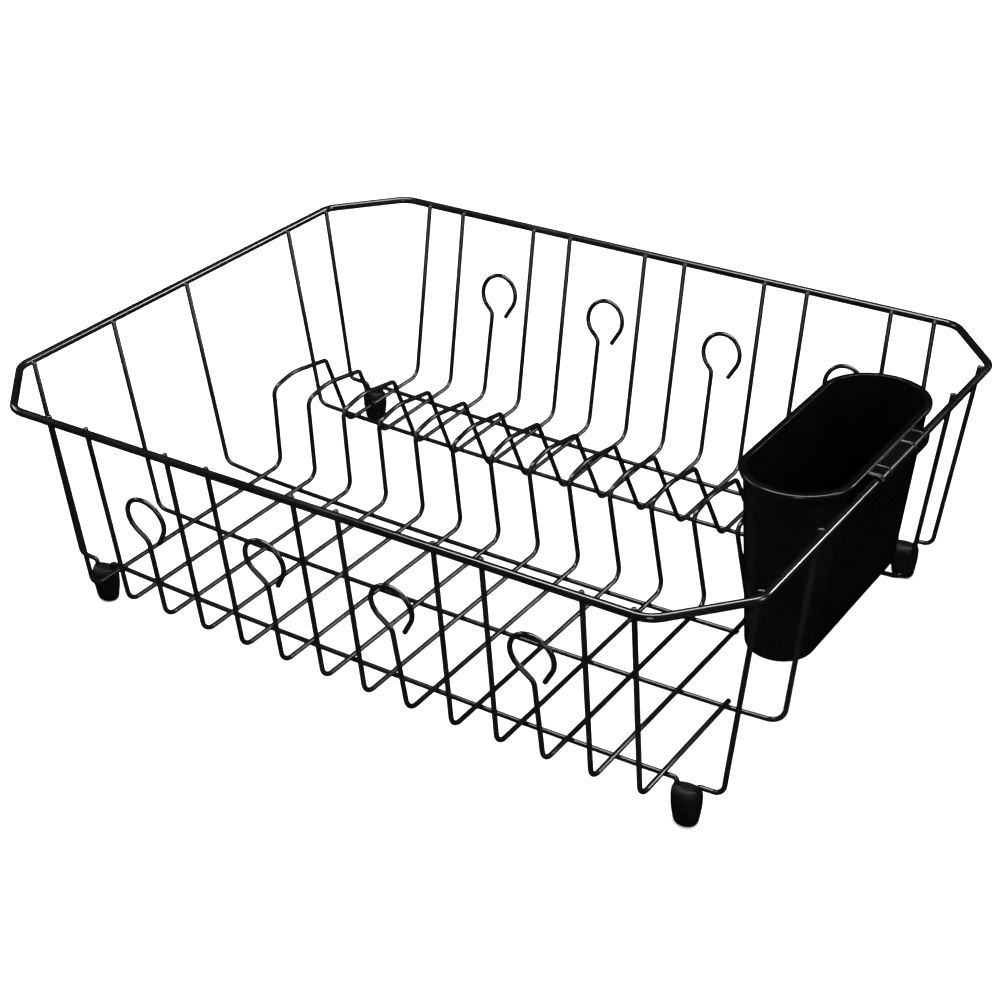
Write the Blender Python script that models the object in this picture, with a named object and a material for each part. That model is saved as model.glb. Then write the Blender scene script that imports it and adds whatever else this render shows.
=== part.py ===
"""Dish drying rack: one tier of welded, coated steel wire with plate dividers and glass loops, four
push-on feet and a utensil cup that hangs on the rim by a ribbed clip and lifts off.

Metres, +Z up. X runs along the rack, with the cup at +X; Y runs from the front to the back. The soles
stand on z = 0 and the origin is under the middle of the whole box.
"""

import math

import bmesh
import bpy
from mathutils import Vector

# Wire and rim
WIRE = 0.0028
RIM_WIRE = 0.0044
RIM_LENGTH = 0.448
RIM_DEPTH = 0.3584
RIM_CORNER_X = 0.0343
RIM_CORNER_Y = 0.0397
RIM_CORNER_BEND = 0.014
RIM_HEIGHT = 0.1385
GAP = 0.0003
NUB = 0.0010

# Cross wires, counted from the end away from the cup
CROSS_COUNT = 14
CROSS_FIRST = -0.16675
CROSS_PITCH = 0.0264
FLOOR_LOW = 0.0245
FLOOR_SAG = 0.0030
FLOOR_SAG_MIDDLE = 0.012
FLOOR_SAG_REACH = 0.190
FLOOR_SAG_POWER = 2.6
CROSS_BACK = 0.1529
CROSS_FRONT = -0.1577
CROSS_FRONT_TURN = -0.006
CROSS_BEND = 0.008

# How far along X the ends of some cross wires lean where they meet the rim
LEANING_FRONT = {1: 0.0012, 10: 0.0022, 11: 0.0022, 13: 0.0020, 14: 0.0018}
LEANING_BACK = {2: -0.0007, 4: -0.0006, 5: -0.0007, 7: -0.0006, 11: 0.0009, 14: -0.0006}

# Plate dividers bent into the cross wires: corners as (Y, height above the floor wire, bend radius)
DIVIDER_CORNERS = (
    (0.0772, 0.0, 0.009),
    (0.0488, 0.0550, 0.0045),
    (0.0170, 0.0601, 0.040),
    (-0.0016, 0.0568, 0.005),
    (0.0078, 0.0, 0.006),
)
DIVIDER_LEAN = 0.04

# Glass loops at both ends of some cross wires: how far the loop's middle is from the cross wire along X
# and how high its top is, for the back loop and then for the front loop. Then how far along X some of the
# necks are
LOOPS = {
    3: ((0.0048, 0.1058), (0.0016, 0.1026)),
    6: ((0.0034, 0.1061), (0.0006, 0.1030)),
    9: ((0.0050, 0.1036), (-0.0012, 0.1024)),
    12: ((0.0052, 0.1024), (-0.0012, 0.1028)),
}
LOOP_NECKS_BACK = {3: 0.0010}
LOOP_NECKS_FRONT = {9: -0.0028, 12: -0.0012}
LOOP_RADIUS = 0.0120
LOOP_START = math.radians(229)
LOOP_END = math.radians(-30)
LOOP_TAIL = 0.0093
LOOP_NECK_BEND = 0.006

# Lengthwise wires, front to back: where each one runs, how much it turns towards the back for each metre
# along X, where it turns up, where it meets the rim, and how much lower than the floor its corners are
LENGTHWISE = (-0.1319, -0.0695, -0.0063, 0.0885, 0.1304)
LENGTHWISE_TURN = (-0.0085, -0.0010, 0.0025, 0.0, 0.0)
LENGTHWISE_LEFT = (-0.2010, -0.1965, -0.1965, -0.1975, -0.2048)
LENGTHWISE_RIGHT = (0.2068, 0.2070, 0.2066, 0.2060, 0.2036)
LENGTHWISE_TOP_LEFT = (-0.1308, -0.0682, -0.0053, 0.0910, 0.1304)
LENGTHWISE_TOP_RIGHT = (-0.1311, -0.0690, -0.0065, 0.0940, 0.1326)
CORNER_DROP_LEFT = (0.0016, 0.0, -0.0015, -0.0005, 0.0010)
CORNER_DROP_RIGHT = (0.0010, -0.0008, 0.0, 0.0, 0.0)
LENGTHWISE_BEND_LEFT = 0.006
LENGTHWISE_BEND_RIGHT = 0.010
OUTER_WIRE_BEND_LEFT = 0.0035
OUTER_WIRE_BEND_RIGHT = 0.0060
MIDDLE_WIRE = 3
MIDDLE_WIRE_OVERHANG = 0.0002
STUB_OVERHANG = 0.0018

# Feet, on the first and the last lengthwise wire
FEET_LEFT = {1: -0.1840, 5: -0.1856}
FEET_RIGHT = {1: 0.1880, 5: 0.1882}
FOOT_HEIGHT = 0.0206
FOOT_WIRE_HEIGHT = 0.0150
FOOT_CLEAR = 0.0040
FOOT_DIP_RUN = 0.0020
FOOT_DIP_BEND = 0.0018
FOOT_HOLE = 0.0017
FOOT_RINGS = (  # height as a share of the foot's, half-width along X, half-width along Y
    (0.00, 0.0053, 0.0043),
    (0.04, 0.0061, 0.0050),
    (0.12, 0.0066, 0.0054),
    (0.30, 0.0072, 0.0058),
    (0.52, 0.0077, 0.0062),
    (0.74, 0.0080, 0.0064),
    (0.85, 0.0080, 0.0062),
    (0.92, 0.0078, 0.0054),
    (0.98, 0.0073, 0.0038),
    (1.00, 0.0066, 0.0024),
)

# Utensil cup: half-width along X, half-length along Y, corner radius, middle along X
CUP_LIP = (0.0277, 0.0718, 0.0272, 0.1879)
CUP_BOTTOM = (0.0180, 0.0670, 0.0178, 0.1860)
CUP_MIDDLE = 0.0168
CUP_UNDERSIDE = 0.0428
CUP_TOP = 0.1435
CUP_WALL = 0.0020
CUP_FLANGE = 0.0019
CUP_FLANGE_DEPTH = 0.0030
CUP_FLANGE_TAPER = 0.0072
CUP_LIP_EDGE = 0.0006
CUP_EDGE = 0.0040
SLOT_COUNT = 6
SLOT_WIDTH = 0.0040
SLOT_LENGTH = 0.0140
SLOT_PITCH = 0.0180

# Clip that hangs the cup on the rim, with ribs across it
CLIP_MIDDLE = 0.0148
CLIP_WIDTH = 0.0586
CLIP_THICKNESS = 0.0012
CLIP_CLEAR = 0.0003
CLIP_DROP = 0.0040
CLIP_TIP = 0.0004
CLIP_BITE = 0.0004
RIB_PLACES = (-0.0130, -0.0042, 0.0259, 0.0389)
RIB_WIDTH = 0.0016
RIB_HEIGHT = 0.0006
RIB_DROP = 0.0016

# How finely curves are made
BEND_STEPS = 3
ARC_STEPS = 10
CLIP_STEPS = 5
FOOT_SIDES = 28
RING_STEPS = 5
SAG_STEPS = 8
SAG_FROM = -0.168
SAG_TO = 0.178
WIRE_SIDES_RESOLUTION = 2
STRAIGHT = math.radians(179.5)
SHARP_EDGE = math.radians(40)
WELD_DISTANCE = 1e-6

# Worked out from the sizes above
RIM_X = (RIM_LENGTH - RIM_WIRE) / 2
RIM_Y = (RIM_DEPTH - RIM_WIRE) / 2
WELD_REACH = (RIM_WIRE + WIRE) / 2 + GAP
WIRE_TOP = RIM_HEIGHT + NUB
CLIP_INSIDE = RIM_WIRE / 2 + CLIP_CLEAR
CLIP_OUTSIDE = CLIP_INSIDE + CLIP_THICKNESS
SHIFT_X = -(CLIP_OUTSIDE + RIB_HEIGHT - RIM_WIRE / 2) / 2

COATED = ("coated_wire", (0.008, 0.008, 0.009, 1.0), 0.22, 0.0)
PLASTIC = ("cup_plastic", (0.012, 0.012, 0.013, 1.0), 0.38, 0.0)
RUBBER = ("foot_plastic", (0.010, 0.010, 0.011, 1.0), 0.45, 0.0)


def clear_scene():
    for obj in list(bpy.data.objects):
        bpy.data.objects.remove(obj, do_unlink=True)


def new_collection(name):
    collection = bpy.data.collections.new(name)
    bpy.context.scene.collection.children.link(collection)
    return collection


def new_material(name, colour, roughness, metallic):
    material = bpy.data.materials.new(name)
    material.use_nodes = True
    shader = material.node_tree.nodes["Principled BSDF"]
    shader.inputs["Base Color"].default_value = colour
    shader.inputs["Roughness"].default_value = roughness
    shader.inputs["Metallic"].default_value = metallic
    return material


def place(name, data, material, parent, collection):
    """A named object with its material, in its collection and under its parent."""
    if material:
        data.materials.append(material)
    obj = bpy.data.objects.new(name, data)
    obj.parent = parent
    collection.objects.link(obj)
    return obj


def bend(before, corner, after, radius):
    """The arc of this radius that rounds one corner of a path."""
    to_before = (before - corner).normalized()
    to_after = (after - corner).normalized()
    opening = to_before.angle(to_after)
    if radius <= 0 or opening > STRAIGHT:
        return [corner]
    along = radius / math.tan(opening / 2)
    centre = corner + (to_before + to_after).normalized() * (radius / math.sin(opening / 2))
    first = corner + to_before * along - centre
    last = corner + to_after * along - centre
    turn = math.pi - opening
    points = []
    for step in range(BEND_STEPS + 1):
        share = step / BEND_STEPS
        from_first = math.sin((1 - share) * turn) / math.sin(turn)
        from_last = math.sin(share * turn) / math.sin(turn)
        points.append(centre + first * from_first + last * from_last)
    return points


def rounded(path, cyclic=False):
    """Points along a path of (corner, bend radius) pairs, with each corner rounded."""
    corners = [Vector(point) for point, _ in path]
    points = []
    for index, (_, radius) in enumerate(path):
        if not cyclic and index in (0, len(path) - 1):
            points.append(corners[index])
            continue
        after = corners[(index + 1) % len(corners)]
        points += bend(corners[index - 1], corners[index], after, radius)
    return points


def wire(name, points, thickness, material, parent, collection, cyclic=False):
    curve = bpy.data.curves.new(name, "CURVE")
    curve.dimensions = "3D"
    curve.bevel_depth = thickness / 2
    curve.bevel_resolution = WIRE_SIDES_RESOLUTION
    curve.use_fill_caps = True
    spline = curve.splines.new("POLY")
    spline.points.add(len(points) - 1)
    for point, place_at in zip(spline.points, points):
        point.co = (*place_at, 1)
    spline.use_cyclic_u = cyclic
    return place(name, curve, material, parent, collection)


def loft(name, rings, material, parent, collection):
    """A closed mesh through rings of equally many points, with a face over each end."""
    count = len(rings[0])
    faces = [tuple(reversed(range(count)))]
    for level in range(len(rings) - 1):
        for index in range(count):
            low = level * count + index
            low_next = level * count + (index + 1) % count
            faces.append((low, low_next, low_next + count, low + count))
    faces.append(tuple(range((len(rings) - 1) * count, len(rings) * count)))
    mesh = bpy.data.meshes.new(name)
    mesh.from_pydata([point for ring in rings for point in ring], [], faces)
    mesh.shade_smooth()
    mesh.set_sharp_from_angle(angle=SHARP_EDGE)
    return place(name, mesh, material, parent, collection)


def helper(obj):
    obj.hide_render = True
    obj.display_type = "WIRE"
    return obj


def boolean(obj, other, operation):
    modifier = obj.modifiers.new(other.name, "BOOLEAN")
    modifier.operation = operation
    modifier.object = helper(other)


def floor_height(x):
    """How high the cross wires' floor runs are: the floor sags a little between the two ends."""
    return FLOOR_LOW + FLOOR_SAG * (abs(x - FLOOR_SAG_MIDDLE) / FLOOR_SAG_REACH) ** FLOOR_SAG_POWER


def lengthwise_height(x):
    return floor_height(x) - WIRE - GAP


def corner_y(side, x):
    """How far back the front (side -1) or back (side 1) uprights meet the floor."""
    return CROSS_BACK if side > 0 else CROSS_FRONT + CROSS_FRONT_TURN * x


def upright(side, x, height):
    """How far back a front (side -1) or back (side 1) upright is at this height."""
    low = corner_y(side, x)
    high = side * (RIM_Y - WELD_REACH)
    floor = floor_height(x)
    return low + (high - low) * (height - floor) / (RIM_HEIGHT - floor)


def cross_x(number):
    return CROSS_FIRST + CROSS_PITCH * (number - 1)


def welded_end(number, side):
    """The end of a cross wire that reaches the rim."""
    x = cross_x(number)
    top_x = x + (LEANING_BACK if side > 0 else LEANING_FRONT).get(number, 0)
    return [((top_x, upright(side, x, WIRE_TOP), WIRE_TOP), 0)]


def loop_end(number, side):
    """An open loop at the end of a cross wire, from its tip to its neck."""
    x = cross_x(number)
    sideways, top = LOOPS[number][0 if side > 0 else 1]
    centre_x = x + sideways
    centre_z = top - LOOP_RADIUS

    def on_wall(across, up):
        return (across, upright(side, x, up), up)

    def on_circle(angle):
        return centre_x + LOOP_RADIUS * math.cos(angle), centre_z + LOOP_RADIUS * math.sin(angle)

    tail_across, tail_up = on_circle(LOOP_END)
    tail_across += LOOP_TAIL * math.sin(LOOP_END)
    tail_up -= LOOP_TAIL * math.cos(LOOP_END)
    path = [(on_wall(tail_across, tail_up), 0)]
    for step in range(ARC_STEPS + 1):
        angle = LOOP_END + (LOOP_START - LOOP_END) * step / ARC_STEPS
        path.append((on_wall(*on_circle(angle)), 0))
    start_across, start_up = on_circle(LOOP_START)
    neck_across = x + (LOOP_NECKS_BACK if side > 0 else LOOP_NECKS_FRONT).get(number, 0)
    neck_up = start_up - abs(start_across - neck_across) / math.tan(LOOP_START - math.pi)
    path.append((on_wall(neck_across, neck_up), LOOP_NECK_BEND))
    return path


def divider(x):
    """The hump that holds a plate, from its back foot to its front foot. Its top leans to the middle."""
    path = []
    for y, up, radius in DIVIDER_CORNERS:
        across = x * (1 - DIVIDER_LEAN) if up else x
        path.append(((across, y, floor_height(x) + up), radius))
    return path


def cross_path(number):
    x = cross_x(number)
    end = loop_end if number in LOOPS else welded_end
    back = ((x, CROSS_BACK, floor_height(x)), CROSS_BEND)
    front = ((x, corner_y(-1, x), floor_height(x)), CROSS_BEND)
    return end(number, 1) + [back] + divider(x) + [front] + list(reversed(end(number, -1)))


def stub_path(side):
    """The last cross wire, which stops at lengthwise wire 2 or 4 to leave room for the cup."""
    x = cross_x(CROSS_COUNT)
    held_by = LENGTHWISE[3] if side > 0 else LENGTHWISE[1]
    stop = held_by - side * STUB_OVERHANG
    path = welded_end(CROSS_COUNT, side)
    path.append(((x, corner_y(side, x), floor_height(x)), CROSS_BEND))
    path.append(((x, stop, floor_height(x)), 0))
    return path


def dip(foot_x, number):
    """Where an outer wire goes down into a foot and comes up again, from left to right."""
    drops = CORNER_DROP_RIGHT if foot_x > 0 else CORNER_DROP_LEFT
    path = []
    for across, in_foot in ((-1, False), (-1, True), (1, True), (1, False)):
        x = foot_x + across * (FOOT_CLEAR + (0 if in_foot else FOOT_DIP_RUN))
        height = FOOT_WIRE_HEIGHT if in_foot else lengthwise_height(x)
        if across * foot_x > 0 and not in_foot:
            height -= drops[number - 1]
        path.append(((x, lengthwise_y(number, x), height), FOOT_DIP_BEND))
    return path


def lengthwise_y(number, x):
    return LENGTHWISE[number - 1] + LENGTHWISE_TURN[number - 1] * x


def lengthwise_path(number):
    index = number - 1
    left, right = LENGTHWISE_LEFT[index], LENGTHWISE_RIGHT[index]
    has_feet = number in FEET_LEFT
    bend_left = OUTER_WIRE_BEND_LEFT if has_feet else LENGTHWISE_BEND_LEFT
    bend_right = OUTER_WIRE_BEND_RIGHT if has_feet else LENGTHWISE_BEND_RIGHT
    end_x = RIM_X - WELD_REACH
    path = [((-end_x, LENGTHWISE_TOP_LEFT[index], WIRE_TOP), 0)]
    low_left = lengthwise_height(left) - CORNER_DROP_LEFT[index]
    low_right = lengthwise_height(right) - CORNER_DROP_RIGHT[index]
    path.append(((left, lengthwise_y(number, left), low_left), bend_left))
    if has_feet:
        path += dip(FEET_LEFT[number], number)
    for step in range(SAG_STEPS + 1):
        x = SAG_FROM + (SAG_TO - SAG_FROM) * step / SAG_STEPS
        if number != MIDDLE_WIRE or x < cross_x(CROSS_COUNT - 1):
            path.append(((x, lengthwise_y(number, x), lengthwise_height(x)), 0))
    if number == MIDDLE_WIRE:
        stop = cross_x(CROSS_COUNT - 1) + MIDDLE_WIRE_OVERHANG
        return path + [((stop, lengthwise_y(number, stop), lengthwise_height(stop)), 0)]
    if has_feet:
        path += dip(FEET_RIGHT[number], number)
    path.append(((right, lengthwise_y(number, right), low_right), bend_right))
    path.append(((end_x, LENGTHWISE_TOP_RIGHT[index], WIRE_TOP), 0))
    return path


def rim_path():
    """The rim's eight corners, going round from the front left."""
    x, y = RIM_X, RIM_Y
    cut_x, cut_y = RIM_X - RIM_CORNER_X, RIM_Y - RIM_CORNER_Y
    front = [(-cut_x, -y), (cut_x, -y), (x, -cut_y)]
    back = [(x, cut_y), (cut_x, y), (-cut_x, y), (-x, cut_y), (-x, -cut_y)]
    return [((*corner, RIM_HEIGHT), RIM_CORNER_BEND) for corner in front + back]


def foot(name, x, number, material, rack, parts, cutters):
    """A push-on foot with a ridged top, and in it a hole along the way its wire dips."""
    y = lengthwise_y(number, x)
    rings = []
    for share, half_x, half_y in FOOT_RINGS:
        ring = []
        for step in range(FOOT_SIDES):
            angle = 2 * math.pi * step / FOOT_SIDES
            ring.append((x + half_x * math.cos(angle), y + half_y * math.sin(angle), share * FOOT_HEIGHT))
        rings.append(ring)
    body = loft(name, rings, material, rack, parts)
    hole = wire(name + "_hole", rounded(dip(x, number)), 2 * FOOT_HOLE, None, rack, cutters)
    boolean(body, as_mesh(hole, rack, cutters), "DIFFERENCE")


def as_mesh(obj, parent, collection):
    """The same shape as a mesh, in place of the curve that it comes from."""
    name = obj.name
    bpy.context.view_layer.update()
    graph = bpy.context.evaluated_depsgraph_get()
    mesh = bpy.data.meshes.new_from_object(obj.evaluated_get(graph))
    bpy.data.objects.remove(obj, do_unlink=True)
    weld(mesh)
    return place(name, mesh, None, parent, collection)


def move_to(obj, collection):
    for other in list(obj.users_collection):
        other.objects.unlink(obj)
    collection.objects.link(obj)


def cup_ring(share, inset, height):
    """A rounded rectangle around the cup, this share of the way from its bottom to its lip, and set in."""
    blend = [low + (high - low) * share for low, high in zip(CUP_BOTTOM, CUP_LIP)]
    half_x, half_y, radius, middle = blend
    half_x, half_y, radius = half_x - inset, half_y - inset, radius - inset
    ring = []
    for quarter in range(4):
        sign_x = 1 if quarter in (0, 3) else -1
        sign_y = 1 if quarter in (0, 1) else -1
        for step in range(RING_STEPS + 1):
            angle = math.pi / 2 * (quarter + step / RING_STEPS)
            ring.append(
                (
                    middle + sign_x * (half_x - radius) + radius * math.cos(angle),
                    CUP_MIDDLE + sign_y * (half_y - radius) + radius * math.sin(angle),
                    height,
                )
            )
    return ring


def cup_rings():
    """From the underside up the outer wall, over the lip, and down the inner wall to the cup's floor."""
    depth = CUP_TOP - CUP_UNDERSIDE
    taper, under = depth - CUP_FLANGE_TAPER, depth - CUP_FLANGE_DEPTH
    flange, edge = -CUP_FLANGE, CUP_LIP_EDGE
    outer = [
        (0, CUP_EDGE, 0),
        (0, CUP_EDGE / 3, CUP_EDGE / 3),
        (CUP_EDGE / depth, 0, CUP_EDGE),
        (taper / depth, 0, taper),
        (under / depth, flange, under),
        (1, flange, depth - edge),
        (1, flange + edge, depth),
    ]
    inner = [
        (1, CUP_WALL - edge, depth),
        (1, CUP_WALL, depth - edge),
        (CUP_EDGE / depth, CUP_WALL, CUP_EDGE + CUP_WALL),
        (0, CUP_WALL + CUP_EDGE, CUP_WALL),
    ]
    return [cup_ring(share, inset, CUP_UNDERSIDE + up) for share, inset, up in outer + inner]


def over_rim(start, near, far, drop):
    """An outline in the XZ plane: level from the cup to the rim, round over the rim and down its outside."""
    outline = [(start, RIM_HEIGHT + near), (start, RIM_HEIGHT + far)]
    for step in range(CLIP_STEPS + 1):
        angle = math.pi / 2 * (1 - step / CLIP_STEPS)
        outline.append((RIM_X + far * math.cos(angle), RIM_HEIGHT + far * math.sin(angle)))
    outline += [
        (RIM_X + far, RIM_HEIGHT - drop + CLIP_TIP),
        (RIM_X + far - CLIP_TIP, RIM_HEIGHT - drop),
        (RIM_X + near, RIM_HEIGHT - drop),
    ]
    for step in range(CLIP_STEPS + 1):
        angle = math.pi / 2 * step / CLIP_STEPS
        outline.append((RIM_X + near * math.cos(angle), RIM_HEIGHT + near * math.sin(angle)))
    return outline


def extruded(name, outline, middle, width, parent, collection):
    """A closed mesh from an outline in the XZ plane, extruded along Y about its middle."""
    curve = bpy.data.curves.new(name, "CURVE")
    curve.dimensions = "2D"
    curve.fill_mode = "BOTH"
    curve.extrude = width / 2
    spline = curve.splines.new("POLY")
    spline.points.add(len(outline) - 1)
    for point, (x, z) in zip(spline.points, outline):
        point.co = (x, z, 0, 1)
    spline.use_cyclic_u = True
    flat = bpy.data.objects.new(name + "_outline", curve)
    collection.objects.link(flat)
    bpy.context.view_layer.update()
    graph = bpy.context.evaluated_depsgraph_get()
    mesh = bpy.data.meshes.new_from_object(flat.evaluated_get(graph))
    bpy.data.objects.remove(flat, do_unlink=True)
    weld(mesh)
    obj = place(name, mesh, None, parent, collection)
    obj.rotation_euler = (math.pi / 2, 0, 0)
    obj.location = (0, middle, 0)
    return obj


def weld(mesh):
    shape = bmesh.new()
    shape.from_mesh(mesh)
    bmesh.ops.remove_doubles(shape, verts=shape.verts, dist=WELD_DISTANCE)
    bmesh.ops.recalc_face_normals(shape, faces=shape.faces)
    shape.to_mesh(mesh)
    shape.free()


def utensil_cup(material, parent, parts, cutters):
    cup = loft("utensil_cup", cup_rings(), material, parent, parts)
    half_x, _, _, middle = CUP_LIP
    in_wall = middle + half_x - CLIP_BITE
    outline = over_rim(in_wall, CLIP_INSIDE, CLIP_OUTSIDE, CLIP_DROP)
    clip = extruded("clip", outline, CLIP_MIDDLE, CLIP_WIDTH, parent, cutters)
    boolean(cup, clip, "UNION")
    in_clip = (CLIP_INSIDE + CLIP_OUTSIDE) / 2
    outline = over_rim(middle + half_x, in_clip, CLIP_OUTSIDE + RIB_HEIGHT, RIB_DROP)
    for number, y in enumerate(RIB_PLACES, 1):
        rib = extruded(f"rib_{number}", outline, y, RIB_WIDTH, parent, cutters)
        boolean(cup, rib, "UNION")
    for number in range(SLOT_COUNT):
        y = CUP_MIDDLE + (number - (SLOT_COUNT - 1) / 2) * SLOT_PITCH
        bpy.ops.mesh.primitive_cube_add(size=1)
        slot = bpy.context.object
        slot.name = f"drain_slot_{number + 1}"
        slot.scale = (SLOT_LENGTH, SLOT_WIDTH, 4 * CUP_WALL)
        slot.parent = parent
        slot.location = (CUP_BOTTOM[3], y, CUP_UNDERSIDE + CUP_WALL / 2)
        move_to(slot, cutters)
        boolean(cup, slot, "DIFFERENCE")
    return cup


def build():
    clear_scene()
    parts = new_collection("dish_drying_rack")
    cutters = new_collection("cutters")
    coated = new_material(*COATED)
    plastic = new_material(*PLASTIC)
    rubber = new_material(*RUBBER)

    rack = bpy.data.objects.new("rack", None)
    rack.location = (SHIFT_X, 0, 0)
    parts.objects.link(rack)
    cup_lift = bpy.data.objects.new("cup_lift", None)
    cup_lift.parent = rack
    parts.objects.link(cup_lift)

    wire("rim", rounded(rim_path(), cyclic=True), RIM_WIRE, coated, rack, parts, cyclic=True)
    for number in range(1, len(LENGTHWISE) + 1):
        wire(f"lengthwise_wire_{number}", rounded(lengthwise_path(number)), WIRE, coated, rack, parts)
    for number in range(1, CROSS_COUNT):
        wire(f"cross_wire_{number:02}", rounded(cross_path(number)), WIRE, coated, rack, parts)
    for side, name in ((-1, "front"), (1, "back")):
        wire(f"cross_wire_{CROSS_COUNT}_{name}", rounded(stub_path(side)), WIRE, coated, rack, parts)

    for end, feet in (("left", FEET_LEFT), ("right", FEET_RIGHT)):
        for side, number in (("front", 1), ("back", len(LENGTHWISE))):
            foot(f"foot_{side}_{end}", feet[number], number, rubber, rack, parts, cutters)
    utensil_cup(plastic, cup_lift, parts, cutters)


build()
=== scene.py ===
import math

import bmesh
import bpy
from mathutils import Matrix, Vector


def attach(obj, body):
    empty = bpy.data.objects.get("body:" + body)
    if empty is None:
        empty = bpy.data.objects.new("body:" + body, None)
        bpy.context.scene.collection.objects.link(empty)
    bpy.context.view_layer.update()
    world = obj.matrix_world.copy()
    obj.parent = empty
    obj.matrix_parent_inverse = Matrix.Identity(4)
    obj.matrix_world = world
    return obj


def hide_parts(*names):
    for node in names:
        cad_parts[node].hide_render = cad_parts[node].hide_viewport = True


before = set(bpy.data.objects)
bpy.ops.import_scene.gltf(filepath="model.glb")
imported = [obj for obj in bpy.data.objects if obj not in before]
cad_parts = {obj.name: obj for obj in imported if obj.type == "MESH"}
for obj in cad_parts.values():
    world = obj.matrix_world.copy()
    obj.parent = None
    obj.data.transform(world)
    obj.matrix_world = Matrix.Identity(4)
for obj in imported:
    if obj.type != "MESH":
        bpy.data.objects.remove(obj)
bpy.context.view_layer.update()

# Sizes that the CAD model has too, in metres
WIRE = 0.0028
RIM_WIRE = 0.0044
RIM_LENGTH = 0.448
RIM_DEPTH = 0.3584
RIM_CORNER_X = 0.0343
RIM_CORNER_Y = 0.0397
RIM_CORNER_BEND = 0.014
RIM_HEIGHT = 0.1385
GAP = 0.0003
NUB = 0.0010
CROSS_COUNT = 14
CROSS_FIRST = -0.16675
CROSS_PITCH = 0.0264
FLOOR_LOW = 0.0245
FLOOR_SAG = 0.0030
FLOOR_SAG_MIDDLE = 0.012
FLOOR_SAG_REACH = 0.190
FLOOR_SAG_POWER = 2.6
CROSS_BACK = 0.1529
CROSS_FRONT = -0.1577
CROSS_FRONT_TURN = -0.006
CROSS_BEND = 0.008
LOOPS = {  # wire: (sideways from the stem, top) of its back loop, then of its front loop
    3: ((0.0048, 0.1058), (0.0016, 0.1026)),
    6: ((0.0034, 0.1061), (0.0006, 0.1030)),
    9: ((0.0050, 0.1036), (-0.0012, 0.1024)),
    12: ((0.0052, 0.1024), (-0.0012, 0.1028)),
}
LEANING_FRONT = {1: 0.0012, 10: 0.0022, 11: 0.0022, 13: 0.0020, 14: 0.0018}
LEANING_BACK = {2: -0.0007, 4: -0.0006, 5: -0.0007, 7: -0.0006, 11: 0.0009, 14: -0.0006}
DIVIDER_CORNERS = (
    (0.0772, 0.0, 0.009),
    (0.0488, 0.0550, 0.0045),
    (0.0170, 0.0601, 0.040),
    (-0.0016, 0.0568, 0.005),
    (0.0078, 0.0, 0.006),
)
DIVIDER_LEAN = 0.04
LOOP_NECKS_BACK = {3: 0.0010}
LOOP_NECKS_FRONT = {9: -0.0028, 12: -0.0012}
LOOP_RADIUS = 0.0120
LOOP_START = math.radians(229)
LOOP_END = math.radians(-30)
LOOP_TAIL = 0.0093
LOOP_NECK_BEND = 0.006
LENGTHWISE = (-0.1319, -0.0695, -0.0063, 0.0885, 0.1304)
LENGTHWISE_TURN = (-0.0085, -0.0010, 0.0025, 0.0, 0.0)
LENGTHWISE_LEFT = (-0.2010, -0.1965, -0.1965, -0.1975, -0.2048)
LENGTHWISE_RIGHT = (0.2068, 0.2070, 0.2066, 0.2060, 0.2036)
LENGTHWISE_TOP_LEFT = (-0.1308, -0.0682, -0.0053, 0.0910, 0.1304)
LENGTHWISE_TOP_RIGHT = (-0.1311, -0.0690, -0.0065, 0.0940, 0.1326)
CORNER_DROP_LEFT = (0.0016, 0.0, -0.0015, -0.0005, 0.0010)
CORNER_DROP_RIGHT = (0.0010, -0.0008, 0.0, 0.0, 0.0)
LENGTHWISE_BEND_LEFT = 0.006
LENGTHWISE_BEND_RIGHT = 0.010
OUTER_WIRE_BEND_LEFT = 0.0035
OUTER_WIRE_BEND_RIGHT = 0.0060
MIDDLE_WIRE = 3
MIDDLE_WIRE_OVERHANG = 0.0002
STUB_OVERHANG = 0.0018
STUB_HELD_FRONT = LENGTHWISE[1]
STUB_HELD_BACK = LENGTHWISE[3]
FEET_LEFT = {1: -0.1840, 5: -0.1856}
FEET_RIGHT = {1: 0.1880, 5: 0.1882}
FOOT_HEIGHT = 0.0206
FOOT_WIRE_HEIGHT = 0.0150
FOOT_CLEAR = 0.0040
FOOT_DIP_RUN = 0.0020
FOOT_DIP_BEND = 0.0018
FOOT_HOLE = 0.0017
FOOT_RINGS = (  # height as a share of the foot's, half-width along X, half-width along Y
    (0.00, 0.0053, 0.0043),
    (0.04, 0.0061, 0.0050),
    (0.12, 0.0066, 0.0054),
    (0.30, 0.0072, 0.0058),
    (0.52, 0.0077, 0.0062),
    (0.74, 0.0080, 0.0064),
    (0.85, 0.0080, 0.0062),
    (0.92, 0.0078, 0.0054),
    (0.98, 0.0073, 0.0038),
    (1.00, 0.0066, 0.0024),
)
CUP_LIP = (0.0277, 0.0718, 0.0272, 0.1879)
CUP_BOTTOM = (0.0180, 0.0670, 0.0178, 0.1860)
CUP_MIDDLE = 0.0168
CUP_UNDERSIDE = 0.0428
CUP_TOP = 0.1435
CUP_WALL = 0.0020
CUP_FLANGE = 0.0019
CUP_FLANGE_DEPTH = 0.0030
CUP_FLANGE_TAPER = 0.0072
CUP_EDGE = 0.0040
SLOT_COUNT = 6
SLOT_WIDTH = 0.0040
SLOT_LENGTH = 0.0140
SLOT_PITCH = 0.0180
CLIP_MIDDLE = 0.0148
CLIP_WIDTH = 0.0586
CLIP_THICKNESS = 0.0012
CLIP_CLEAR = 0.0003
CLIP_DROP = 0.0040
CLIP_TIP = 0.0004
CLIP_BITE = 0.0004
RIB_PLACES = (-0.0130, -0.0042, 0.0259, 0.0389)
RIB_WIDTH = 0.0016
RIB_HEIGHT = 0.0006
RIB_DROP = 0.0016

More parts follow.
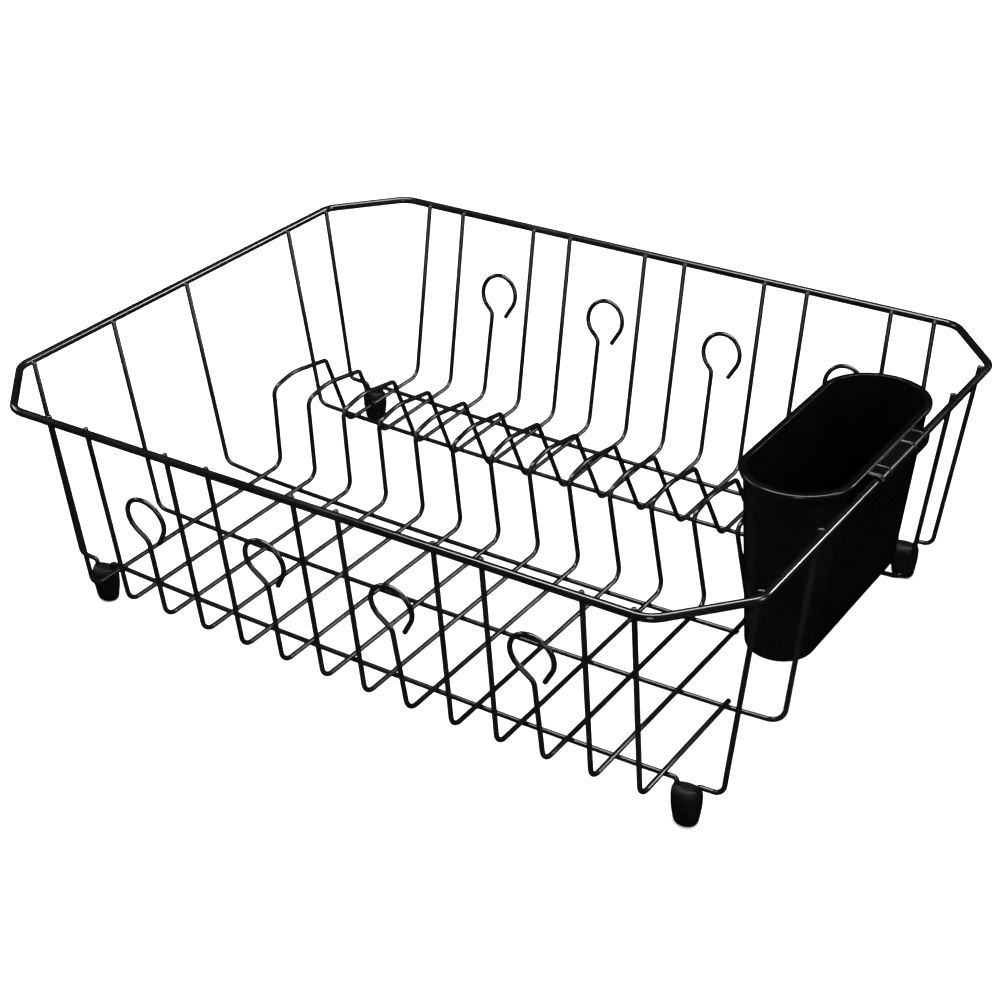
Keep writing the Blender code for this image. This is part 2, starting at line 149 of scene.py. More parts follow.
RIM_X = (RIM_LENGTH - RIM_WIRE) / 2
RIM_Y = (RIM_DEPTH - RIM_WIRE) / 2
WELD_REACH = (RIM_WIRE + WIRE) / 2 + GAP
WIRE_TOP = RIM_HEIGHT + NUB
CLIP_INSIDE = RIM_WIRE / 2 + CLIP_CLEAR
CLIP_OUTSIDE = CLIP_INSIDE + CLIP_THICKNESS
SHIFT_X = -(CLIP_OUTSIDE + RIB_HEIGHT - RIM_WIRE / 2) / 2

# How finely the shown pieces are made
BEND_ANGLE = math.radians(9)
LEAST_BEND_STEPS = 3
WIRE_SIDES = 20
RIM_SIDES = 28
WELD_SIDES = 16
FOOT_SIDES = 64
LOOP_STEPS = 40
SAG_STEPS = 24
SAG_FROM = -0.168
SAG_TO = 0.178
FOOT_RING_STEPS = 5
CUP_CORNER_STEPS = 28
CUP_SIDE_STEPS = 30
CUP_WALL_STEPS = 14
CUP_FLANGE_STEPS = 5
CUP_EDGE_ANGLE = 9
CUP_OUTER_LIP_STEPS = 8
CUP_INNER_LIP_STEPS = 7
CLIP_WIDTH_STEPS = 240
CLIP_INNER_STEPS = 24
CLIP_OVER_STEPS = 6
CLIP_TURN_STEPS = 14
CLIP_DOWN_STEPS = 12
CLIP_EDGE_STEPS = 4
CLIP_TIP_ANGLES = (30, 55, 75, 85)
SLOT_END_STEPS = 12
SHARP_EDGE = math.radians(38)
NEARLY_STRAIGHT = math.radians(179.5)
SAME_POINT = 1e-5

# Detail that only the shown pieces have, in metres unless a comment says otherwise
WIRE_END_DOME = 0.55  # height of a wire's domed end, as a share of its radius
WIRE_END_ANGLES = (78, 52, 26, 0)  # degrees round the dome, from its tip to the wire
WELD_PROFILE = (  # share of the way between two wires, width as a share of the weld's size
    (0.16, 1.10),
    (0.30, 1.02),
    (0.40, 0.86),
    (0.50, 0.80),
    (0.60, 0.86),
    (0.70, 1.02),
    (0.84, 1.10),
)
FLOOR_WELD = 0.00100
RIM_WELD = 0.00115
ELLIPSE_POWER = 2.0
FOOT_SQUARENESS = 0.8  # a foot's outline is squarest half way up, by half of this power
CUP_LEAST_CORNER = 0.002
CUP_OUTER_LIP = 0.0014
CUP_INNER_LIP = 0.0003
CUP_FLANGE_CURVE = (  # (out, up) from the straight wall's end, from under the flange, and from its edge
    (0.0, 0.0006),
    (0.0007, -0.0018),
    (-0.0002, -0.0001),
)
CUP_FLANGE_EDGE = 0.0005
CLIP_CORNER_WIDTH = 0.98  # width of the clip's rounded lower corners, as a share of their height
CLIP_EDGE_SHARE = 0.8  # radius of the clip's edges, as a share of half its thickness
RIB_FULLNESS = 0.6  # power that shapes a rib: 0.5 is round and 1 is a parabola
SLOT_CUT_BELOW = 1.0  # how far the slot cutter reaches past the cup's underside, in walls
SLOT_CUT_ABOVE = 2.5


# ---------------------------------------------------------------- materials


def new_material(name):
    """A material with its shader, and a helper that adds a node and links its inputs."""
    material = bpy.data.materials.new(name)
    material.use_nodes = True
    tree = material.node_tree
    shader = tree.nodes["Principled BSDF"]

    def node(kind, inputs=None, **settings):
        made = tree.nodes.new(kind)
        for key, value in settings.items():
            setattr(made, key, value)
        for key, value in (inputs or {}).items():
            socket = made.inputs[key]
            if isinstance(value, bpy.types.NodeSocket):
                tree.links.new(value, socket)
            else:
                socket.default_value = value
        return made

    return material, tree, shader, node


# Where in a noise's range the roughness changes, and where the two tones do
NOISE_LOW, NOISE_HIGH = 0.30, 0.70
TONES_FROM, TONES_TO = 0.35, 0.65


def noise(node, place, scale, detail=2.0, roughness=0.5):
    inputs = {"Vector": place, "Scale": scale, "Detail": detail, "Roughness": roughness}
    return node("ShaderNodeTexNoise", inputs).outputs["Fac"]


def ranged(node, value, low, high):
    """A noise brought into the range from low to high."""
    inputs = {"Value": value, "From Min": NOISE_LOW, "From Max": NOISE_HIGH, "To Min": low, "To Max": high}
    return node("ShaderNodeMapRange", inputs).outputs["Result"]


def two_tones(node, value, low, high):
    """A colour that goes from low to high with a noise."""
    ramp = node("ShaderNodeValToRGB", {"Fac": value})
    ramp.color_ramp.elements[0].position = TONES_FROM
    ramp.color_ramp.elements[0].color = (*low, 1)
    ramp.color_ramp.elements[1].position = TONES_TO
    ramp.color_ramp.elements[1].color = (*high, 1)
    return ramp.outputs["Color"]


def bumped(node, layers):
    """Bump nodes in a chain: each layer is (height, distance in metres, strength)."""
    normal = None
    for height, distance, strength in layers:
        inputs = {"Height": height, "Distance": distance, "Strength": strength}
        if normal:
            inputs["Normal"] = normal
        normal = node("ShaderNodeBump", inputs).outputs["Normal"]
    return normal


def finish_material(tree, shader, colour, roughness, normal):
    tree.links.new(colour, shader.inputs["Base Color"])
    tree.links.new(roughness, shader.inputs["Roughness"])
    tree.links.new(normal, shader.inputs["Normal"])


def coated_wire_material():
    """Dipped black coating on steel wire: glossy, with faint orange peel and slow lumps."""
    material, tree, shader, node = new_material("coated_wire")
    place = node("ShaderNodeTexCoord").outputs["Object"]
    lumps = noise(node, place, scale=95, detail=3.0)
    peel = noise(node, place, scale=820)
    grime = noise(node, place, scale=30, detail=5.0, roughness=0.6)
    colour = two_tones(node, grime, low=(0.0022, 0.0022, 0.0025), high=(0.0044, 0.0044, 0.0048))
    roughness = ranged(node, grime, low=0.13, high=0.24)
    normal = bumped(node, [(lumps, 0.00030, 0.30), (peel, 0.00006, 0.28)])
    finish_material(tree, shader, colour, roughness, normal)
    shader.inputs["IOR"].default_value = 1.50
    shader.inputs["Coat Weight"].default_value = 0.30
    shader.inputs["Coat Roughness"].default_value = 0.08
    return material


def cup_material():
    """Injection-moulded black plastic: a fine satin grain, faint flow marks and rubbed patches."""
    material, tree, shader, node = new_material("cup_plastic")
    place = node("ShaderNodeTexCoord").outputs["Object"]
    grain = noise(node, place, scale=2600, roughness=0.6)
    drawn_out = {"Vector": place, "Scale": (1.0, 1.0, 0.16)}
    flow_place = node("ShaderNodeMapping", drawn_out).outputs["Vector"]
    flow = noise(node, flow_place, scale=140, detail=4.0, roughness=0.55)
    rubbed = noise(node, place, scale=42, detail=5.0, roughness=0.6)
    colour = two_tones(node, rubbed, low=(0.0012, 0.0012, 0.0013), high=(0.0019, 0.0019, 0.0020))
    roughness = ranged(node, rubbed, low=0.17, high=0.23)
    normal = bumped(node, [(flow, 0.00008, 0.07), (grain, 0.00002, 0.25)])
    finish_material(tree, shader, colour, roughness, normal)
    shader.inputs["IOR"].default_value = 1.46
    shader.inputs["Specular IOR Level"].default_value = 0.42
    return material


def foot_material():
    """Soft black foot moulding: duller than the coating, with a pebbled skin worn smoother in patches."""
    material, tree, shader, node = new_material("foot_plastic")
    place = node("ShaderNodeTexCoord").outputs["Object"]
    pebble = noise(node, place, scale=1500, detail=3.0, roughness=0.6)
    patch = noise(node, place, scale=170, detail=4.0, roughness=0.6)
    colour = two_tones(node, patch, low=(0.0010, 0.0010, 0.0011), high=(0.0021, 0.0021, 0.0022))
    roughness = ranged(node, patch, low=0.44, high=0.58)
    normal = bumped(node, [(patch, 0.00016, 0.25), (pebble, 0.00004, 0.35)])
    finish_material(tree, shader, colour, roughness, normal)
    shader.inputs["IOR"].default_value = 1.48
    shader.inputs["Specular IOR Level"].default_value = 0.16
    return material


def floor_material():
    """A pale matt floor, very slightly mottled."""
    material, tree, shader, node = new_material("pale_floor")
    place = node("ShaderNodeTexCoord").outputs["Object"]
    mottle = noise(node, place, scale=3.0, detail=4.0)
    fine = noise(node, place, scale=400)
    colour = two_tones(node, mottle, low=(0.905, 0.905, 0.905), high=(0.915, 0.915, 0.915))
    roughness = ranged(node, mottle, low=0.62, high=0.72)
    finish_material(tree, shader, colour, roughness, bumped(node, [(fine, 0.0001, 0.05)]))
    shader.inputs["Specular IOR Level"].default_value = 0.25
    return material


# ---------------------------------------------------------------- mesh helpers


def mesh_object(name, vertices, faces, material):
    mesh = bpy.data.meshes.new(name)
    mesh.from_pydata(vertices, [], faces)
    mesh.shade_smooth()
    mesh.materials.append(material)
    obj = bpy.data.objects.new(name, mesh)
    bpy.context.scene.collection.objects.link(obj)
    return obj


def stand_for(obj, body, slot, *nodes):
    """obj moves with that body and stands for those CAD nodes. The slot is not used."""
    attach(obj, body)
    if nodes:
        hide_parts(*nodes)


def bend(before, corner, after, radius):
    """The arc of this radius that rounds one corner of a path."""
    to_before = (before - corner).normalized()
    to_after = (after - corner).normalized()
    opening = to_before.angle(to_after)
    if radius <= 0 or opening > NEARLY_STRAIGHT:
        return [corner]
    along = radius / math.tan(opening / 2)
    centre = corner + (to_before + to_after).normalized() * (radius / math.sin(opening / 2))
    first = corner + to_before * along - centre
    last = corner + to_after * along - centre
    turn = math.pi - opening
    steps = max(LEAST_BEND_STEPS, math.ceil(turn / BEND_ANGLE))
    points = []
    for step in range(steps + 1):
        share = step / steps
        from_first = math.sin((1 - share) * turn) / math.sin(turn)
        from_last = math.sin(share * turn) / math.sin(turn)
        points.append(centre + first * from_first + last * from_last)
    return points


def rounded(path, cyclic=False):
    """Points along a path of (corner, bend radius) pairs, with each corner rounded."""
    corners = [Vector(point) for point, _ in path]
    points = []
    for index, (_, radius) in enumerate(path):
        if not cyclic and index in (0, len(path) - 1):
            points.append(corners[index])
            continue
        after = corners[(index + 1) % len(corners)]
        points += bend(corners[index - 1], corners[index], after, radius)
    return points


def without_repeats(points, cyclic):
    """The points without any that lies on the one before it."""
    kept = [points[0]]
    for point in points[1:]:
        if (point - kept[-1]).length > SAME_POINT:
            kept.append(point)
    if cyclic and (kept[0] - kept[-1]).length < SAME_POINT:
        kept.pop()
    return kept


def directions(points, cyclic):
    """Which way a path runs at each of its points."""
    last = len(points) - 1
    found = []
    for index in range(len(points)):
        if cyclic:
            before, after = points[index - 1], points[(index + 1) % len(points)]
        else:
            before, after = points[max(index - 1, 0)], points[min(index + 1, last)]
        found.append((after - before).normalized())
    return found


def with_domed_ends(stations, radius):
    """The stations of an open wire, with a soft dome in place of each end station."""
    dome = radius * WIRE_END_DOME
    head, tail = [], []
    for degrees in WIRE_END_ANGLES:
        angle = math.radians(degrees)
        inward = dome - dome * math.sin(angle)
        point, tangent, side, _ = stations[0]
        head.append((point + tangent * inward, tangent, side, math.cos(angle)))
        point, tangent, side, _ = stations[-1]
        tail.append((point - tangent * inward, tangent, side, math.cos(angle)))
    return head + stations[1:-1] + list(reversed(tail))


def tube(points, thickness, sides, cyclic=False):
    """Vertices and faces of a round wire along these points."""
    points = without_repeats(points, cyclic)
    tangents = directions(points, cyclic)
    across = tangents[0].orthogonal().normalized()
    stations = []
    for point, tangent in zip(points, tangents):
        across = (across - tangent * across.dot(tangent)).normalized()
        stations.append((point, tangent, across.copy(), 1.0))
    if not cyclic:
        stations = with_domed_ends(stations, thickness / 2)
    vertices, faces = [], []
    for point, tangent, side, size in stations:
        other = tangent.cross(side)
        for step in range(sides):
            angle = 2 * math.pi * step / sides
            spoke = side * math.cos(angle) + other * math.sin(angle)
            vertices.append(point + spoke * (size * thickness / 2))
    rings = len(stations)
    for level in range(rings if cyclic else rings - 1):
        low, high = level * sides, (level + 1) % rings * sides
        turned = best_turn(vertices, low, high, sides) if cyclic and level == rings - 1 else 0
        for step in range(sides):
            following = (step + 1) % sides
            high_next = high + (following + turned) % sides
            faces.append((low + step, low + following, high_next, high + (step + turned) % sides))
    if not cyclic:
        faces.append(tuple(reversed(range(sides))))
        faces.append(tuple(range((rings - 1) * sides, rings * sides)))
    return vertices, faces


def best_turn(vertices, low, high, sides):
    """How far the last ring of a closed tube is turned from the first, in steps."""
    start = vertices[low]
    return min(range(sides), key=lambda step: (vertices[high + step] - start).length)


def loft(rings):
    """Vertices and faces through rings of equally many points, with a face over each end."""
    count = len(rings[0])
    faces = [tuple(reversed(range(count)))]
    for level in range(len(rings) - 1):
        for index in range(count):
            low = level * count + index
            low_next = level * count + (index + 1) % count
            faces.append((low, low_next, low_next + count, low + count))
    faces.append(tuple(range((len(rings) - 1) * count, len(rings) * count)))
    return [point for ring in rings for point in ring], faces


def joined(parts):
    """One list of vertices and faces out of several."""
    vertices, faces = [], []
    for more_vertices, more_faces in parts:
        offset = len(vertices)
        vertices += more_vertices
        faces += [tuple(offset + index for index in face) for face in more_faces]
    return vertices, faces


def moved(points):
    """Points measured from the rim's middle, as points of the frame."""
    return [Vector((x + SHIFT_X, y, z)) for x, y, z in points]


def weld_fillet(first, second, size):
    """The coated neck that joins two crossing wires, from one wire's middle to the other's."""
    axis = (second - first).normalized()
    side = axis.orthogonal().normalized()
    other = axis.cross(side)
    rings = []
    for share, width in WELD_PROFILE:
        centre = first.lerp(second, share)
        ring = []
        for step in range(WELD_SIDES):
            angle = 2 * math.pi * step / WELD_SIDES
            ring.append(centre + (side * math.cos(angle) + other * math.sin(angle)) * size * width)
        rings.append(ring)
    return loft(rings)


# ---------------------------------------------------------------- wire paths


def floor_height(x):
    """Height of a cross wire's middle along the floor, which sags towards the rack's middle."""
    return FLOOR_LOW + FLOOR_SAG * (abs(x - FLOOR_SAG_MIDDLE) / FLOOR_SAG_REACH) ** FLOOR_SAG_POWER


def lengthwise_height(x):
    """Height of a lengthwise wire's middle, just under the cross wires."""
    return floor_height(x) - WIRE - GAP


def chosen(side, back, front):
    """The back's value for side 1, and the front's for side -1."""
    return back if side > 0 else front


def corner_y(side, x):
    """How far back the front (side -1) or back (side 1) uprights meet the floor."""
    return chosen(side, CROSS_BACK, CROSS_FRONT + CROSS_FRONT_TURN * x)


def upright(side, x, height):
    """How far back a front (side -1) or back (side 1) upright is at this height."""
    low = corner_y(side, x)
    high = side * (RIM_Y - WELD_REACH)
    floor = floor_height(x)
    return low + (high - low) * (height - floor) / (RIM_HEIGHT - floor)


def cross_x(number):
    return CROSS_FIRST + CROSS_PITCH * (number - 1)


def top_x(number, side):
    """Where along the rim a cross wire's end is: some of them lean a little."""
    return cross_x(number) + chosen(side, LEANING_BACK, LEANING_FRONT).get(number, 0)


def welded_end(number, side):
    """The end of a cross wire that is welded to the rim's inside."""
    x = cross_x(number)
    return [((top_x(number, side), upright(side, x, WIRE_TOP), WIRE_TOP), 0)]


def loop_end(number, side):
    """An open loop at the end of a cross wire, from its tip to its neck."""
    x = cross_x(number)
    sideways, top = chosen(side, *LOOPS[number])
    centre_x = x + sideways
    centre_z = top - LOOP_RADIUS

    def on_wall(across, up):
        return (across, upright(side, x, up), up)

    def on_circle(angle):
        return centre_x + LOOP_RADIUS * math.cos(angle), centre_z + LOOP_RADIUS * math.sin(angle)

    tail_across, tail_up = on_circle(LOOP_END)
    tail_across += LOOP_TAIL * math.sin(LOOP_END)
    tail_up -= LOOP_TAIL * math.cos(LOOP_END)
    path = [(on_wall(tail_across, tail_up), 0)]
    for step in range(LOOP_STEPS + 1):
        angle = LOOP_END + (LOOP_START - LOOP_END) * step / LOOP_STEPS
        path.append((on_wall(*on_circle(angle)), 0))
    start_across, start_up = on_circle(LOOP_START)
    neck_across = x + chosen(side, LOOP_NECKS_BACK, LOOP_NECKS_FRONT).get(number, 0)
    neck_up = start_up - abs(start_across - neck_across) / math.tan(LOOP_START - math.pi)
    path.append((on_wall(neck_across, neck_up), LOOP_NECK_BEND))
    return path


def divider(x):
    """The hump that holds a plate, from its back foot to its front foot."""
    path = []
    for y, up, radius in DIVIDER_CORNERS:
        across = x * (1 - DIVIDER_LEAN) if up else x
        path.append(((across, y, floor_height(x) + up), radius))
    return path


def cross_path(number):
    """A cross wire from its back end, over the floor and the divider, to its front end."""
    x = cross_x(number)
    end = loop_end if number in LOOPS else welded_end
    back = ((x, corner_y(1, x), floor_height(x)), CROSS_BEND)
    front = ((x, corner_y(-1, x), floor_height(x)), CROSS_BEND)
    return end(number, 1) + [back] + divider(x) + [front] + list(reversed(end(number, -1)))


def stub_path(side):
    """One of the two stubs of the last cross wire, which leave room for the cup between them."""
    x = cross_x(CROSS_COUNT)
    stop = chosen(side, STUB_HELD_BACK, STUB_HELD_FRONT) - side * STUB_OVERHANG
    path = welded_end(CROSS_COUNT, side)
    path.append(((x, corner_y(side, x), floor_height(x)), CROSS_BEND))
    path.append(((x, stop, floor_height(x)), 0))
    return path


def dip(foot_x, number):
    """Where an outer wire goes down into a foot and comes up again, from left to right."""
    drops = CORNER_DROP_RIGHT if foot_x > 0 else CORNER_DROP_LEFT
    path = []
    for across, in_foot in ((-1, False), (-1, True), (1, True), (1, False)):
        x = foot_x + across * (FOOT_CLEAR + (0 if in_foot else FOOT_DIP_RUN))
        height = FOOT_WIRE_HEIGHT if in_foot else lengthwise_height(x)
        if across * foot_x > 0 and not in_foot:
            height -= drops[number - 1]
        path.append(((x, lengthwise_y(number, x), height), FOOT_DIP_BEND))
    return path


def lengthwise_y(number, x):
    """How far back a lengthwise wire is: some of them aren't quite parallel to the rim."""
    return LENGTHWISE[number - 1] + LENGTHWISE_TURN[number - 1] * x


def lengthwise_path(number):
    """A lengthwise wire from the left end wall to the right one, or to where the middle one stops."""
    index = number - 1
    left, right = LENGTHWISE_LEFT[index], LENGTHWISE_RIGHT[index]
    has_feet = number in FEET_LEFT
    bend_left = OUTER_WIRE_BEND_LEFT if has_feet else LENGTHWISE_BEND_LEFT
    bend_right = OUTER_WIRE_BEND_RIGHT if has_feet else LENGTHWISE_BEND_RIGHT
    end_x = RIM_X - WELD_REACH
    path = [((-end_x, LENGTHWISE_TOP_LEFT[index], WIRE_TOP), 0)]
    low_left = lengthwise_height(left) - CORNER_DROP_LEFT[index]
    low_right = lengthwise_height(right) - CORNER_DROP_RIGHT[index]
    path.append(((left, lengthwise_y(number, left), low_left), bend_left))
    if has_feet:
        path += dip(FEET_LEFT[number], number)
    for step in range(SAG_STEPS + 1):
        x = SAG_FROM + (SAG_TO - SAG_FROM) * step / SAG_STEPS
        if number != MIDDLE_WIRE or x < cross_x(CROSS_COUNT - 1):
            path.append(((x, lengthwise_y(number, x), lengthwise_height(x)), 0))
    if number == MIDDLE_WIRE:
        stop = cross_x(CROSS_COUNT - 1) + MIDDLE_WIRE_OVERHANG
        return path + [((stop, lengthwise_y(number, stop), lengthwise_height(stop)), 0)]
    if has_feet:
        path += dip(FEET_RIGHT[number], number)
    path.append(((right, lengthwise_y(number, right), low_right), bend_right))
    path.append(((end_x, LENGTHWISE_TOP_RIGHT[index], WIRE_TOP), 0))
    return path


def rim_path():
    """The rim's eight corners, going round from the front left."""
    x, y = RIM_X, RIM_Y
    cut_x, cut_y = RIM_X - RIM_CORNER_X, RIM_Y - RIM_CORNER_Y
    front = [(-cut_x, -y), (cut_x, -y), (x, -cut_y), (x, cut_y)]
    back = [(cut_x, y), (-cut_x, y), (-x, cut_y), (-x, -cut_y)]
    return [((*corner, RIM_HEIGHT), RIM_CORNER_BEND) for corner in front + back]


# ---------------------------------------------------------------- pieces


def make_wires(coated):
    vertices, faces = tube(moved(rounded(rim_path(), cyclic=True)), RIM_WIRE, RIM_SIDES, cyclic=True)
    stand_for(mesh_object("coated_rim", vertices, faces, coated), "rack", "coated_wire", "rim")

    def wire(name, path, node):
        made_vertices, made_faces = tube(moved(rounded(path)), WIRE, WIRE_SIDES)
        stand_for(mesh_object(name, made_vertices, made_faces, coated), "rack", "coated_wire", node)

    for number in range(1, len(LENGTHWISE) + 1):
        wire(f"coated_lengthwise_{number}", lengthwise_path(number), f"lengthwise_wire_{number}")
    for number in range(1, CROSS_COUNT):
        wire(f"coated_cross_{number:02}", cross_path(number), f"cross_wire_{number:02}")
    for side, end in ((-1, "front"), (1, "back")):
        wire(f"coated_cross_{CROSS_COUNT}_{end}", stub_path(side), f"cross_wire_{CROSS_COUNT}_{end}")


def floor_runs(number):
    """The stretches of a cross wire that lie on the lengthwise wires, as (from, to) along Y."""
    if number == CROSS_COUNT:
        return [(CROSS_FRONT, STUB_HELD_FRONT + STUB_OVERHANG), (STUB_HELD_BACK - STUB_OVERHANG, CROSS_BACK)]
    return [(CROSS_FRONT, DIVIDER_CORNERS[-1][0]), (DIVIDER_CORNERS[0][0], CROSS_BACK)]


def make_welds(coated):
    """A fillet wherever two wires cross on the floor, and wherever a wire's end meets the rim."""
    floor, top = [], []
    for number in range(1, CROSS_COUNT + 1):
        x = cross_x(number)
        for index in range(1, len(LENGTHWISE) + 1):
            y = lengthwise_y(index, x)
            if not any(low < y < high for low, high in floor_runs(number)):
                continue
            if index == MIDDLE_WIRE and number == CROSS_COUNT:
                continue
            ends = moved([(x, y, lengthwise_height(x)), (x, y, floor_height(x))])
            floor.append(weld_fillet(*ends, FLOOR_WELD))
        if number in LOOPS:
            continue
        for side in (-1, 1):
            at = top_x(number, side)
            inner = (at, upright(side, x, RIM_HEIGHT), RIM_HEIGHT)
            ends = moved([inner, (at, side * RIM_Y, RIM_HEIGHT)])
            top.append(weld_fillet(*ends, RIM_WELD))
    for index in range(1, len(LENGTHWISE) + 1):
        for side in (-1, 1):
            if index == MIDDLE_WIRE and side > 0:
                continue
            tops = LENGTHWISE_TOP_LEFT if side < 0 else LENGTHWISE_TOP_RIGHT
            y = tops[index - 1]
            inner = (side * (RIM_X - WELD_REACH), y, RIM_HEIGHT)
            ends = moved([inner, (side * RIM_X, y, RIM_HEIGHT)])
            top.append(weld_fillet(*ends, RIM_WELD))
    for name, parts in (("welds_floor", floor), ("welds_rim", top)):
        stand_for(mesh_object(name, *joined(parts), coated), "rack", "coated_wire")


def between(before, start, end, after, t):
    """A Catmull-Rom curve's value this share of the way from start to end."""
    slope = end - before
    bow = 2 * before - 5 * start + 4 * end - after
    twist = 3 * start - before - 3 * end + after
    return 0.5 * (2 * start + slope * t + bow * t * t + twist * t**3)


def smooth_profile(rows, steps):
    """Points on a smooth curve through these rows of numbers."""
    found = []
    for index in range(len(rows) - 1):
        before, start = rows[max(index - 1, 0)], rows[index]
        end, after = rows[index + 1], rows[min(index + 2, len(rows) - 1)]
        for step in range(steps):
            share = step / steps
            found.append(tuple(between(*four, share) for four in zip(before, start, end, after)))
    return found + [tuple(rows[-1])]


def combine(obj, other, operation):
    """obj with the other shape added or cut away, as one closed mesh."""
    modifier = obj.modifiers.new("combine", "BOOLEAN")
    modifier.operation = operation
    modifier.object = other
    modifier.solver = "EXACT"
    graph = bpy.context.evaluated_depsgraph_get()
    mesh = bpy.data.meshes.new_from_object(obj.evaluated_get(graph))
    obj.modifiers.clear()
    obj.data = mesh
    bpy.data.objects.remove(other, do_unlink=True)


def smooth(obj):
    """Shading that is smooth, apart from the edges that really are sharp."""
    obj.data.shade_smooth()
    obj.data.set_sharp_from_angle(angle=SHARP_EDGE)


def squarish(half_x, half_y, angle, power):
    """A point of a superellipse: power 2 is an ellipse, and more is squarer."""
    across, along = math.cos(angle), math.sin(angle)
    return (
        half_x * math.copysign(abs(across) ** (2 / power), across),
        half_y * math.copysign(abs(along) ** (2 / power), along),
    )


def make_feet(rubber):
    """Push-on feet that narrow to a ridge on top, each with a hole along the way its wire dips."""
    for end, feet in (("left", FEET_LEFT), ("right", FEET_RIGHT)):
        for side, number in (("front", 1), ("back", len(LENGTHWISE))):
            foot_x, foot_y = feet[number], lengthwise_y(number, feet[number])
            rings = []
            for share, half_x, half_y in smooth_profile(FOOT_RINGS, FOOT_RING_STEPS):
                power = ELLIPSE_POWER + FOOT_SQUARENESS * min(share, 1 - share)
                ring = []
                for step in range(FOOT_SIDES):
                    x, y = squarish(half_x, half_y, 2 * math.pi * step / FOOT_SIDES, power)
                    ring.append(Vector((foot_x + SHIFT_X + x, foot_y + y, share * FOOT_HEIGHT)))
                rings.append(ring)
            foot = mesh_object(f"moulded_foot_{side}_{end}", *loft(rings), rubber)
            hole = tube(moved(rounded(dip(foot_x, number))), 2 * FOOT_HOLE, WIRE_SIDES)
            combine(foot, mesh_object("hole", *hole, rubber), "DIFFERENCE")
            smooth(foot)
            stand_for(foot, "rack", "foot_plastic", f"foot_{side}_{end}")


def cup_ring(share, inset, height):
    """A rounded rectangle around the cup, this share of the way up and set in by this much."""
    half_x, half_y, radius, middle = (low + (high - low) * share for low, high in zip(CUP_BOTTOM, CUP_LIP))
    half_x, half_y, radius = half_x - inset, half_y - inset, max(radius - inset, CUP_LEAST_CORNER)
    ring = []
    for quarter in range(4):
        sign_x = 1 if quarter in (0, 3) else -1
        sign_y = 1 if quarter in (0, 1) else -1
        corner_x = middle + SHIFT_X + sign_x * (half_x - radius)
        corner = Vector((corner_x, CUP_MIDDLE + sign_y * (half_y - radius), height))
        for step in range(CUP_CORNER_STEPS + 1):
            angle = math.pi / 2 * (quarter + step / CUP_CORNER_STEPS)
            ring.append(corner + Vector((radius * math.cos(angle), radius * math.sin(angle), 0)))
        if quarter in (0, 2):
            continue
        # The long sides get points along them too, so that the walls can carry detail.
        along_from = ring[-1]
        length = 2 * (half_y - radius)
        for step in range(1, CUP_SIDE_STEPS):
            ring.append(along_from + Vector((0, -sign_y * length * step / CUP_SIDE_STEPS, 0)))
    return ring


def arc(centre, radius, first, last, steps):
    """Points of an arc in a profile, with the angles in degrees."""
    found = []
    for step in range(steps + 1):
        angle = math.radians(first + (last - first) * step / steps)
        found.append((centre[0] + radius * math.cos(angle), centre[1] + radius * math.sin(angle)))
    return found


def cup_profile():
    """(how far the wall stands out from the cup's own line, height): from the underside up the outer
    wall, round the rolled lip, and down the inner wall to the cup's floor."""
    depth = CUP_TOP - CUP_UNDERSIDE
    under = depth - CUP_FLANGE_DEPTH
    taper = depth - CUP_FLANGE_TAPER
    inner_top = depth - CUP_INNER_LIP
    inner_bottom = CUP_EDGE + CUP_WALL
    edge_angles = [math.radians(degrees) for degrees in range(0, 91, CUP_EDGE_ANGLE)]
    points = [(-CUP_EDGE * (1 - math.sin(a)), CUP_EDGE * (1 - math.cos(a))) for a in edge_angles]
    for step in range(1, CUP_WALL_STEPS + 1):
        points.append((0.0, CUP_EDGE + (taper - CUP_EDGE) * step / CUP_WALL_STEPS))
    # The wall curves out into the flange under the lip.
    (start_out, start_up), (bend_out, bend_up), (end_out, end_up) = CUP_FLANGE_CURVE
    flange = [
        (start_out, taper + start_up),
        (bend_out, under + bend_up),
        (CUP_FLANGE + end_out, under + end_up),
    ]
    points += smooth_profile(flange, CUP_FLANGE_STEPS)
    points.append((CUP_FLANGE, under + CUP_FLANGE_EDGE))
    outer_centre = (CUP_FLANGE - CUP_OUTER_LIP, depth - CUP_OUTER_LIP)
    points += arc(outer_centre, CUP_OUTER_LIP, 0, 90, CUP_OUTER_LIP_STEPS)
    inner_centre = (-CUP_WALL + CUP_INNER_LIP, inner_top)
    points += arc(inner_centre, CUP_INNER_LIP, 90, 180, CUP_INNER_LIP_STEPS)
    for step in range(1, CUP_WALL_STEPS + 1):
        points.append((-CUP_WALL, inner_top - (inner_top - inner_bottom) * step / CUP_WALL_STEPS))
    for a in edge_angles[1:]:
        out = -CUP_WALL - CUP_EDGE * (1 - math.cos(a))
        points.append((out, CUP_WALL + CUP_EDGE * (1 - math.sin(a))))
    return points


def cup_body(plastic):
    depth = CUP_TOP - CUP_UNDERSIDE
    rings = []
    for out, up in cup_profile():
        rings.append(cup_ring(up / depth, -out, CUP_UNDERSIDE + up))
    return mesh_object("moulded_cup", *loft(rings), plastic)


